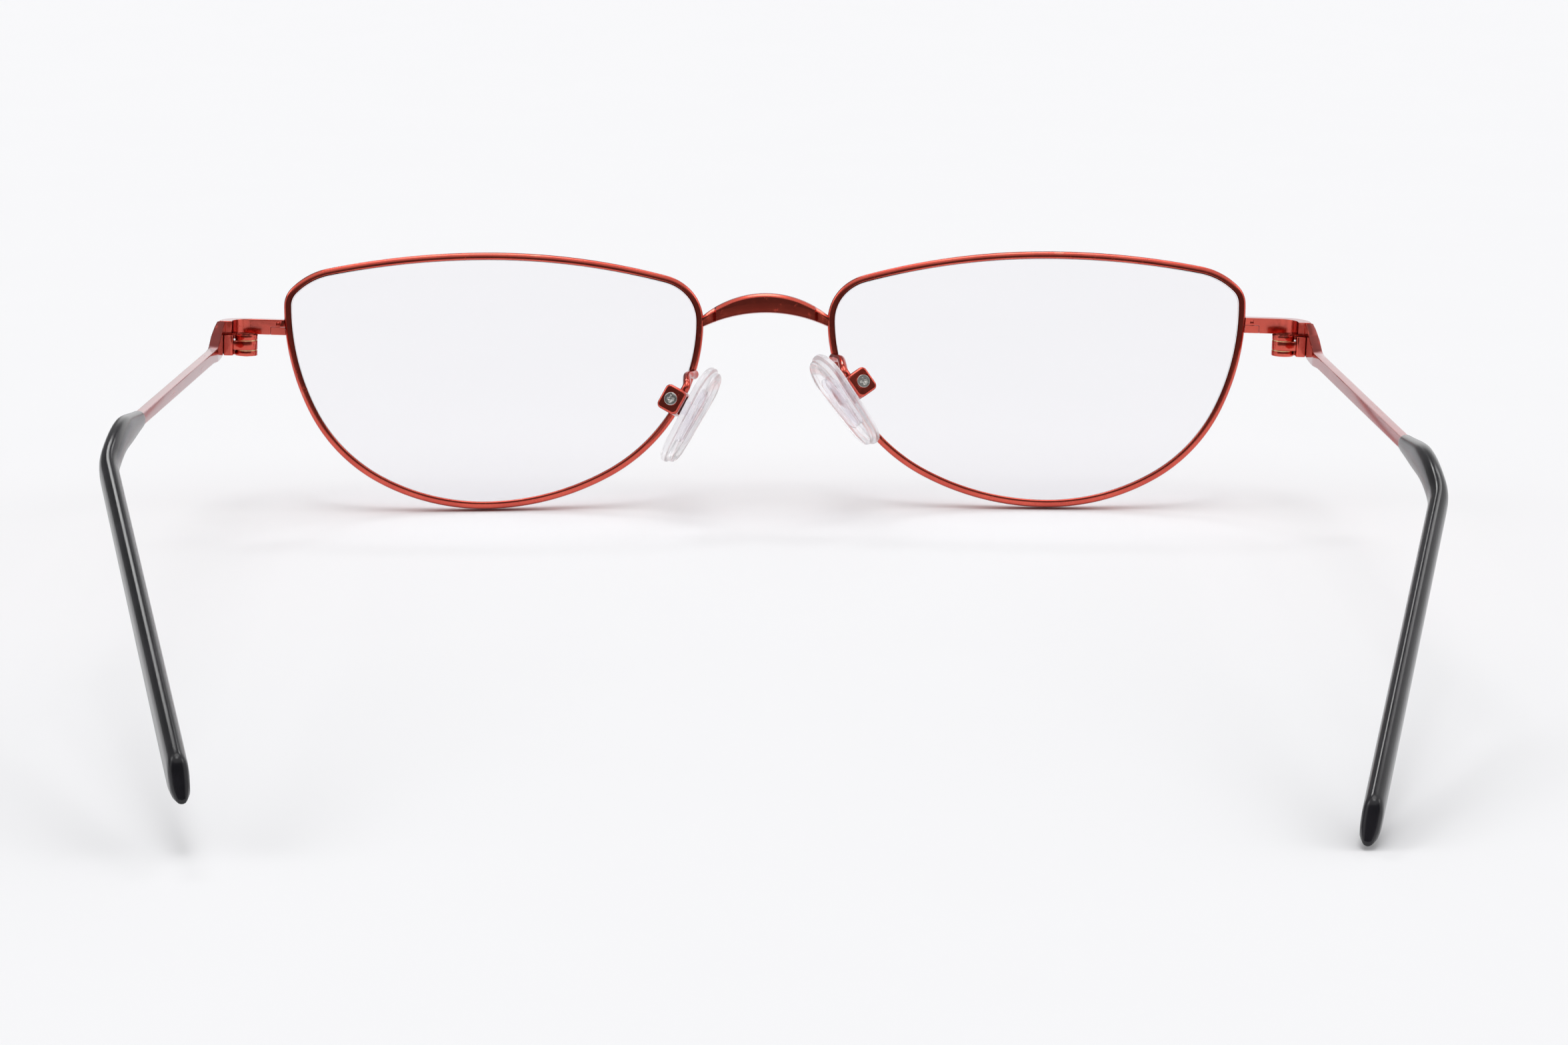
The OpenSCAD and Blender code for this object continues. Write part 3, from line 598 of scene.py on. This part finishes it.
# temples
templeShape = {
    # tables of (length from the hinge, place of the face)
    "outer": ((0.12, 0.9), (2, 1.0), (5, 0.97), (9, 0.7), (12, 0.55), (20, 0.55)),
    "inner": ((0.12, -0.12), (1.9, -0.12), (2.5, -0.2), (9, -0.55), (20, -0.55)),
    "high": ((0.12, 3.0), (4.3, 1.9), (8.4, 0.92), (9.6, 0.725)),
    "low": ((0.12, -1.12), (6, -1.12), (9, -1.0), (12.5, -0.725)),
    "bevel": 0.14, "front": 0.12, "frontBevel": 0.1, "ease": 0.5, "sharp": 30,
    # first full section, end of the taller head, and the steps on the five stretches
    "firstFull": 0.24, "headEnd": 13.0, "steps": (0.45, 4, 1.2, 0.8, 6),
}


def templeRing(y, shrink=0.0):
    s = templeShape
    ease = min(s["ease"], max(0.0, y - s["front"]))
    outer, inner = eased(s["outer"], y, ease), eased(s["inner"], y, ease)
    high, low = eased(s["high"], y, ease), eased(s["low"], y, ease)
    box = roundedBox((outer - inner) / 2 - shrink, (high - low) / 2 - shrink, s["bevel"] - shrink, 2)
    place = alongArm(y) @ move((outer + inner) / 2, 0, (high + low) / 2)
    return [place @ Vector((p, 0, q)) for p, q in box]


def spread(stops, steps):
    # stations between stops along the temple, with one step for each stretch
    out = []
    for low, high, step in zip(stops, stops[1:], steps):
        count = max(1, round((high - low) / step))
        out += [low + (high - low) * k / count for k in range(count)]
    return out


bendEnd = bendFrom + arcLen
turnEnd = bendEnd + turnLen
templeStops = (templeShape["firstFull"], templeShape["headEnd"], bendFrom, bendEnd, turnEnd,
               turnEnd + coreLen)

for label, side in sides:
    rings = [templeRing(templeShape["front"], templeShape["frontBevel"])]
    rings += [templeRing(y) for y in spread(templeStops, templeShape["steps"])]
    rings.append(templeRing(templeStops[-1]))
    temple = makePiece("temple_arm_" + label, rings, armPlace(side), red, "temple_" + label + "_body",
                       ["temple_" + label], templeShape["sharp"])
    keepFlatsFlat(temple)
print("stage: temple arms made")

# plastic tips
tipShape = {
    # tables of (length from the hinge, size)
    "height": ((tipFrom + 0.2, tipHFront), (bendFrom, tipHBend), (turnEnd, tipHBend),
               (pathEnd - 8, tipHEnd), (pathEnd, tipHEnd)),
    "thick": ((tipFrom + 0.2, tipTFront), (bendFrom, tipT), (pathEnd, tipT)),
    # distance before the end, top, bottom, thickness
    "end": ((4.0, 2.55, -2.55, 2.1), (3.5, 2.55, -2.5, 2.1), (3.1, 2.53, -2.36, 2.1),
            (2.75, 2.44, -2.2, 2.1), (2.45, 2.26, -2.08, 2.09), (2.2, 2.0, -2.02, 2.07),
            (1.95, 1.66, -1.93, 2.03), (1.2, 0.7, -1.66, 1.85), (0.6, -0.1, -1.43, 1.35),
            (0.2, -0.6, -1.28, 0.9), (0.03, -0.8, -1.2, 0.45)),
    # distance behind the mouth, rounding there
    "mouth": ((0.0, 0.16), (0.06, 0.05), (0.16, 0.0)),
    # corners as a share of the smaller side, how much taller than wide, and their highest share
    "corner": 0.43, "tall": 1.7, "cornerMost": 0.46, "cornerSteps": 6, "ease": 2.0, "sharp": 60,
    # where the plain stretch starts behind the mouth and ends before the end, and its steps
    "firstFull": 0.6, "lastFull": 4.2, "steps": (2, 0.8, 0.6, 2.5),
}


def tipRing(y, top, low, thick):
    s, h = tipShape, top - low
    corner = min(h, thick) * s["corner"]
    tall = min(s["tall"], s["cornerMost"] * h / corner)
    box = roundedBox(thick / 2, h / 2, corner, s["cornerSteps"], tall)
    place = alongArm(y) @ move(0, 0, (top + low) / 2)
    return [place @ Vector((p, 0, q)) for p, q in box]


def tipRings():
    s, rings = tipShape, []
    for ahead, less in s["mouth"]:
        h = tipHFront - less
        rings.append(tipRing(tipFrom + ahead, h / 2, -h / 2, tipTFront - less))
    stops = (tipFrom + s["firstFull"], bendFrom, bendEnd, turnEnd, pathEnd - s["lastFull"])
    for y in spread(stops, s["steps"]):
        h = eased(s["height"], y, s["ease"])
        rings.append(tipRing(y, h / 2, -h / 2, eased(s["thick"], y, s["ease"])))
    for before, top, low, thick in s["end"]:
        rings.append(tipRing(pathEnd - before, top, low, thick))
    return rings


for label, side in sides:
    makePiece("tip_sleeve_" + label, tipRings(), armPlace(side), black, "temple_" + label + "_body",
              ["temple_tip_" + label], tipShape["sharp"])
print("stage: tips made")

# nose pads of clear silicone: rings round the outline, from the flat back to the face at the nose
padShape = {
    # each ring's distance towards the nose and its distance in from the full outline
    "back": ((0.0, 3.2), (0.0, 2.4), (0.0, 1.4), (0.0, 0.7)),
    "profile": ((0.0, 0.36), (0.05, 0.16), (0.17, 0.04), (0.34, 0.0), (0.6, 0.0), (0.76, 0.05),
                (0.84, 0.15), (0.87, 0.27), (0.95, 0.31), (1.15, 0.33), (1.36, 0.37), (1.5, 0.46),
                (1.61, 0.62), (1.69, 0.86), (1.77, 1.3), (1.87, 1.9), (1.97, 2.7), (2.03, 3.3)),
    # from this distance in, a ring is the full outline made smaller
    "scaledFrom": 1.2, "wideSteps": 27, "narrowSteps": 23, "sharp": 50,
}


def padOutline(shrink):
    # a wide and a narrow round end with straight sides between them
    r, narrowR = padW / 2 - shrink, padW * padTopShare - shrink
    low, high = (padW - padLen) / 2, padLen / 2 - padW * padTopShare
    lean = math.asin((r - narrowR) / (high - low))
    wideSteps, narrowSteps = padShape["wideSteps"], padShape["narrowSteps"]
    out = []
    for k in range(wideSteps + 1):
        a = math.pi - lean + k * (math.pi + 2 * lean) / wideSteps
        out.append((r * math.cos(a), low + r * math.sin(a)))
    for k in range(narrowSteps + 1):
        a = lean + k * (math.pi - 2 * lean) / narrowSteps
        out.append((narrowR * math.cos(a), high + narrowR * math.sin(a)))
    return out


def padRing(out, shrink):
    if shrink < padShape["scaledFrom"]:
        flat = padOutline(shrink)
    else:
        share = 1 - 2 * shrink / padW
        flat = [(a * share, b * share) for a, b in padOutline(0)]
    return [(padFace - out, -a, padDrop - b) for a, b in flat]


padRings = [padRing(out, shrink) for out, shrink in padShape["back"] + padShape["profile"]]
for label, side in sides:
    makePiece("pad_silicone_" + label, padRings, padPlace(side), silicone, "pad_" + label + "_body",
              ["nose_pad_" + label], padShape["sharp"])
print("stage: nose pads made")

# pad arms: a thicker foot on the rim, then a bent wire to the box
padArmShape = {
    "d": 1.02, "footUp": 3.3, "footMore": 0.25, "footReach": 1.2, "edgeStep": 0.3, "edgeReach": 1.2,
    # in the front's frame: from the foot to the knee, the share of that way at which the wire has a
    # point, and from the knee to the point where the wire passes it
    "knee": (0.8, 3.4, -0.1), "firstShare": 0.55, "passing": (0.0, -0.35, -0.15),
    # the last two points, in the pad's frame
    "wrist": (-0.4, -0.85, 2.35), "hand": (-0.4, -0.85, 1.35),
    "steps": 9, "around": 16, "sharp": 50,
}


def noseEdge(v):
    # place of the rim wire's middle on the nose side, near the height v
    reach, half = padArmShape["edgeReach"], rimWall / 2
    middle = [(u + nu * half, w + nw * half) for u, w, nu, nw in openingLine(padArmShape["edgeStep"])]
    return min(u for u, w in middle if abs(w - v) < reach)


def curve(points, steps):
    # smooth line through the points
    ends = [points[0] * 2 - points[1]] + points + [points[-1] * 2 - points[-2]]
    out = []
    for i in range(1, len(ends) - 2):
        a, b, c, d = ends[i - 1:i + 3]
        for k in range(steps):
            t = k / steps
            out.append(0.5 * (2 * b + (c - a) * t + (2 * a - 5 * b + 4 * c - d) * t * t
                              + (3 * b - 3 * c + d - a) * t ** 3))
    return out + [points[-1]]


def padArmRings(side):
    s = padArmShape
    footV = padUp - side * padUneven + s["footUp"]
    foot = rimInFront() @ Vector((noseEdge(footV), rimDeep / 2, footV))
    knee = foot + Vector(s["knee"])
    wrist = padInFront(side) @ Vector(s["wrist"])
    hand = padInFront(side) @ Vector(s["hand"])
    stops = [foot, foot.lerp(knee, s["firstShare"]), knee + Vector(s["passing"]), knee.lerp(wrist, 0.5)]
    path = curve(stops + [wrist, hand], s["steps"])
    turns = [2 * math.pi * k / s["around"] for k in range(s["around"])]
    rings, level = [], Vector((1, 0, 0))
    for i, p in enumerate(path):
        ahead = (path[min(i + 1, len(path) - 1)] - path[max(i - 1, 0)]).normalized()
        level = (level - ahead * level.dot(ahead)).normalized()
        up = ahead.cross(level)
        r = s["d"] / 2 * (1 + s["footMore"] * max(0.0, 1 - (p - foot).length / s["footReach"]))
        rings.append([p + level * r * math.cos(a) + up * r * math.sin(a) for a in turns])
    return rings


for label, side in sides:
    makePiece("pad_wire_" + label, padArmRings(side), frontPlace(side), red, "front",
              ["pad_arm_" + label], padArmShape["sharp"])
print("stage: pad arms made")

# small machined pieces keep the CAD shape and get rounded edges; angles are in degrees
rounding = {"flat": 1.5, "crease": 32, "steepCrease": 60, "segments": 2, "profile": 0.5, "sharp": 38}
# the outer edges of a pad box: distance from the screw's axis, distance along it, and their rounding
boxEdges = {"out": 1.1, "along": 1.44, "bevel": 0.3}


def creases(made, degrees):
    steep = math.radians(degrees)
    return [e for e in made.edges if len(e.link_faces) == 2 and e.calc_face_angle(0) > steep]


def isBoxEdge(edge, toPad):
    ends = [toPad @ v.co for v in edge.verts]
    return all(abs(p.y) > boxEdges["along"] and math.hypot(p.x, p.z) > boxEdges["out"] for p in ends)


def roundEdges(made, edges, bevel):
    bmesh.ops.bevel(made, geom=edges, offset=bevel * millimetre, segments=rounding["segments"],
                    profile=rounding["profile"], affect="EDGES", clamp_overlap=True)


def roundedCopy(node, name, material, body, bevel, toPad):
    # toPad takes the part's frame to a pad's for the pad boxes and is None for the rest
    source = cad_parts[node]
    mesh = source.data.copy()
    mesh.name = name
    mesh.transform(source.matrix_world)
    made = bmesh.new()
    made.from_mesh(mesh)
    bmesh.ops.remove_doubles(made, verts=made.verts, dist=weldReach)
    bmesh.ops.dissolve_limit(made, angle_limit=math.radians(rounding["flat"]),
                             verts=made.verts, edges=made.edges)
    bmesh.ops.recalc_face_normals(made, faces=made.faces)
    plain = creases(made, rounding["crease"])
    if toPad:
        plain = [e for e in plain if not isBoxEdge(e, toPad)]
    roundEdges(made, plain, bevel)
    if toPad:
        outer = [e for e in creases(made, rounding["steepCrease"]) if isBoxEdge(e, toPad)]
        roundEdges(made, outer, boxEdges["bevel"])
    made.to_mesh(mesh)
    made.free()
    piece = finishMesh(name, mesh, material, body, [node], rounding["sharp"])
    keepFlatsFlat(piece)


# CAD node, piece, material, body, slot, rounding
smallPieces = (
    ("end_piece_", "end_strip_", red, "front", "red_metal", 0.12),
    ("rim_lock_", "lock_block_", red, "front", "red_metal", 0.015),
    ("rim_lock_screw_", "lock_screw_", steel, "front", "steel_screw", 0.02),
    ("hinge_front_", "hinge_knuckles_", red, "front", "red_metal", 0.06),
    ("hinge_screw_", "hinge_pin_", red, "front", "red_metal", 0.03),
    ("hinge_washers_", "hinge_rings_", brass, "front", "washer_brass", 0.015),
    ("hinge_temple_", "hinge_block_", red, "temple_{}_body", "red_metal", 0.08),
    ("pad_box_", "pad_cup_", red, "front", "red_metal", 0.06),
    ("pad_screw_", "pad_pin_", steel, "front", "steel_screw", 0.04),
    ("pad_insert_", "pad_plate_", insert, "pad_{}_body", "pad_insert", 0.06),
)
for label, side in sides:
    for node, name, material, body, slotName, bevel in smallPieces:
        toPad = padPlace(side).inverted() if node == "pad_box_" else None
        roundedCopy(node + label, name + label, material, body.format(label), bevel, toPad)
print("stage: small pieces made")

# floor, light and camera
studio = {
    "floorHalf": 3.0, "white": (0.94, 0.94, 0.955),
    # brightness of the world, and how much brighter the wall behind the front is
    "worldLevel": 0.835, "darkLevel": 0.10, "bandLevel": 0.26, "wall": 0.42,
    # ranges of the direction's three axes over which each part of the world comes in or goes out
    "horizon": (0.3, 0.44), "darkBack": (0.25, 0.6), "darkUp": (0.5, 0.72),
    "bandFront": (0.2, 0.5), "bandLeft": (-0.4, -0.1), "bandUp": (0.88, 0.95),
    "dimLeft": (0.08, 0.25), "dimFront": (-0.1, 0.2), "wallFront": (0.7, 0.95),
    # name, angle round from the far side, angle above the floor, width and height as angles, radiance
    "lamps": (
        ("softTop", 0.0, 80.0, 32.0, 32.0, 1.65),
        ("farLeft", 15.0, 46.0, 14.0, 5.0, 13.0),
        ("farRight", -22.0, 46.0, 14.0, 5.0, 7.0),
        ("overhead", 180.0, 79.0, 18.0, 18.0, 3.8),
        ("leftSide", 90.0, 38.0, 24.0, 24.0, 1.8),
        ("rightSide", -90.0, 38.0, 24.0, 24.0, 1.8),
    ),
    "lampDistance": 8.0,
}
# lens and sensor in millimetres, angles in radians, the rest in metres
photoCamera = {
    "lens": 108.15, "sensor": 36.0, "yaw": 0.0173484, "pitch": 0.2359768, "roll": 0.00090361,
    "place": (0.007767, 0.509279, 0.13716), "nearest": 0.01, "farthest": 50.0,
}


def makeFloor():
    h = studio["floorHalf"]
    mesh = bpy.data.meshes.new("floor")
    mesh.from_pydata([(-h, -h, 0), (h, -h, 0), (h, h, 0), (-h, h, 0)], [], [(0, 1, 2, 3)])
    mesh.materials.append(floorPaper())
    floor = bpy.data.objects.new("floor", mesh)
    bpy.context.scene.collection.objects.link(floor)


def makeWorld():
    world = bpy.data.worlds.new("studioWorld")
    bpy.context.scene.world = world
    world.use_nodes = True
    tree = world.node_tree
    tree.nodes.clear()
    kit = Wire(tree)
    axes = tree.nodes.new("ShaderNodeSeparateXYZ")
    tree.links.new(kit.node("ShaderNodeTexCoord", out=0).socket, axes.inputs[0])
    left, back, up = (Wire(tree, axis) for axis in axes.outputs)
    s = studio
    front, high = 0 - back, up.between(*s["horizon"])
    low = 1 - high
    dark = back.between(*s["darkBack"]) * (1 - up.between(*s["darkUp"]))
    band = front.between(*s["bandFront"]) * left.between(*s["bandLeft"])
    band = band * high * (1 - up.between(*s["bandUp"]))
    dim = left.between(*s["dimLeft"]) * front.between(*s["dimFront"]) * low
    wall = front.between(*s["wallFront"]) * low * (1 - dim)
    level = s["worldLevel"] + wall * s["wall"]
    level = level - dark * (s["worldLevel"] - s["darkLevel"])
    level = level - (band + dim) * (s["worldLevel"] - s["bandLevel"])
    lit = kit.node("ShaderNodeBackground", None, {"Color": (1, 1, 1, 1), "Strength": level})
    seen = kit.node("ShaderNodeBackground", None, {"Color": (*s["white"], 1), "Strength": 1.0})
    camera = kit.node("ShaderNodeLightPath", out="Is Camera Ray")
    mixed = kit.node("ShaderNodeMixShader", None, {0: camera, 1: lit, 2: seen})
    out = tree.nodes.new("ShaderNodeOutputWorld")
    tree.links.new(mixed.socket, out.inputs["Surface"])


def makeLamps():
    # each lamp stands round the object and faces it
    distance = studio["lampDistance"]
    for name, around, above, wide, tall, radiance in studio["lamps"]:
        at = turn("Z", around) @ turn("X", -above) @ Vector((0, -distance, 0))
        across = 2 * distance * math.tan(math.radians(wide / 2))
        down = 2 * distance * math.tan(math.radians(tall / 2))
        lamp = bpy.data.lights.new(name, "AREA")
        lamp.shape = "ELLIPSE"
        lamp.size = across
        lamp.size_y = down
        lamp.energy = radiance * math.pi ** 2 * across * down / 4
        holder = bpy.data.objects.new(name, lamp)
        bpy.context.scene.collection.objects.link(holder)
        holder.location = at
        holder.rotation_euler = (-at).to_track_quat("-Z", "Y").to_euler()


def makeCamera():
    # from behind and a little above, as in the photograph
    yaw, pitch, roll = (photoCamera[angle] for angle in ("yaw", "pitch", "roll"))
    flat = math.cos(pitch)
    ahead = Vector((-math.sin(yaw) * flat, -math.cos(yaw) * flat, -math.sin(pitch)))
    level = ahead.cross(Vector((0, 0, 1))).normalized()
    up = level.cross(ahead)
    right = level * math.cos(roll) + up * math.sin(roll)
    above = up * math.cos(roll) - level * math.sin(roll)
    data = bpy.data.cameras.new("photoCamera")
    data.lens = photoCamera["lens"]
    data.sensor_width = photoCamera["sensor"]
    data.sensor_fit = "HORIZONTAL"
    data.clip_start = photoCamera["nearest"]
    data.clip_end = photoCamera["farthest"]
    camera = bpy.data.objects.new("photoCamera", data)
    bpy.context.scene.collection.objects.link(camera)
    turned = Matrix((right, above, -ahead)).transposed().to_4x4()
    camera.matrix_world = Matrix.Translation(photoCamera["place"]) @ turned
    bpy.context.scene.camera = camera


makeFloor()
makeWorld()
makeLamps()
makeCamera()
bpy.context.scene.view_settings.view_transform = "Standard"
print("stage: studio made")
